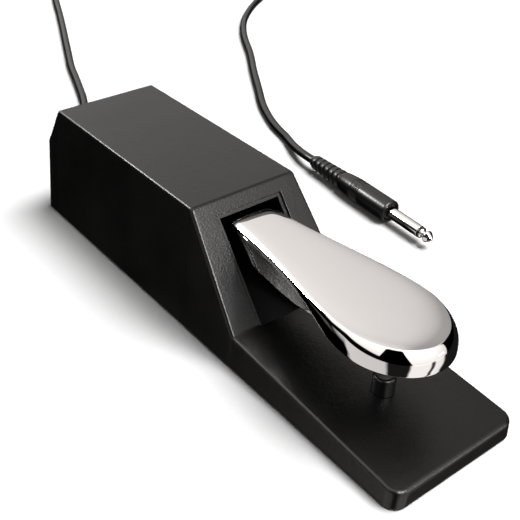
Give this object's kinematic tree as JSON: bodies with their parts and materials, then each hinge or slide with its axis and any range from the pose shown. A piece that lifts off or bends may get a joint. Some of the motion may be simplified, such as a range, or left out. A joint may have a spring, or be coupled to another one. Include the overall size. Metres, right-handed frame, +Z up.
{
  "type": "sustain pedal",
  "caption": "Piano-style sustain pedal: black wedge housing with a long front deck, chrome spoon treadle over a rubber stop post, and a cord ending in a 6.35 mm plug.",
  "frame": {"origin": "on the floor, under the middle of the housing", "axes": "+Z up, +Y from the toe of the treadle to the rear face where the cord leaves, +X to the right seen from the toe end"},
  "size_m": [0.3542, 0.5943, 0.06],
  "materials": {
    "housing_plastic": "satin moulded black plastic",
    "black_steel": "black powder coat",
    "rubber": "matte",
    "felt": "pressed felt",
    "plated_steel": "zinc plated",
    "treadle_chrome": "polished",
    "nylon": "natural nylon",
    "spring_steel": "plain",
    "switch_plastic": "moulded",
    "plunger_red": "moulded",
    "terminal_brass": "bare",
    "cord_rubber": "soft sheen",
    "wire_red": "insulation",
    "wire_white": "insulation",
    "tie_plastic": "soft",
    "plug_plastic": "moulded",
    "plug_nickel": "nickel plated"
  },
  "bodies": {
    "base": {"housing": "housing_plastic", "base_plate": "black_steel", "base_mat": "rubber", "base_screws": "plated_steel", "stop_bumper": "rubber", "bumper_screw": "plated_steel", "up_stop_pad": "felt", "pivot_pin": "plated_steel", "pin_clips": "plated_steel", "pivot_bracket": "plated_steel", "bracket_rivets": "plated_steel", "return_spring": "spring_steel", "spring_seat": "nylon", "switch_body": "switch_plastic", "switch_terminals": "terminal_brass", "switch_bracket": "plated_steel", "switch_screws": "plated_steel", "polarity_switch_body": "plated_steel", "polarity_screws": "plated_steel", "strain_relief": "cord_rubber", "clamp_base": "switch_plastic", "clamp_bar": "switch_plastic", "clamp_screws": "plated_steel", "cord_wires": "wire_red", "switch_wires": "wire_white", "cord_rear_run": "cord_rubber", "cord_coil": "cord_rubber", "coil_tie": "tie_plastic", "cord_plug_run": "cord_rubber", "plug_boot": "cord_rubber", "plug_grip": "plug_plastic", "plug_sleeve": "plug_nickel", "plug_insulator": "switch_plastic", "plug_tip": "plug_nickel"},
    "treadle": {"treadle": "treadle_chrome", "treadle_bushes": "nylon", "spring_cap": "nylon"},
    "switch_lever": {"switch_lever": "spring_steel"},
    "switch_plunger": {"switch_plunger": "plunger_red"},
    "polarity_slider": {"polarity_slider": "switch_plastic"}
  },
  "joints": [
    {"name": "treadle_hinge", "type": "hinge", "parent": "base", "child": "treadle", "pos_m": [0, 0.075, 0.04], "axis": [1, 0, 0], "range_deg": [0, 7], "stiffness_Nm_per_rad": 10.5, "springref_deg": -10.89, "deforming": ["return_spring"]},
    {"name": "switch_lever_hinge", "type": "hinge", "parent": "base", "child": "switch_lever", "pos_m": [0, 0.064, 0.0376], "axis": [1, 0, 0], "range_deg": [0, 11.4]},
    {"name": "plunger_slide", "type": "slide", "parent": "base", "child": "switch_plunger", "axis": [0, 0, -1], "range_m": [0, 0.001]},
    {"name": "polarity_slide", "type": "slide", "parent": "base", "child": "polarity_slider", "axis": [1, 0, 0], "range_m": [0, 0.004]}
  ],
  "couplings": [
    {"joint": "switch_lever_hinge", "follows": "treadle_hinge", "ratio": 1.62},
    {"joint": "plunger_slide", "follows": "treadle_hinge", "m_per_rad": 0.00818}
  ]
}
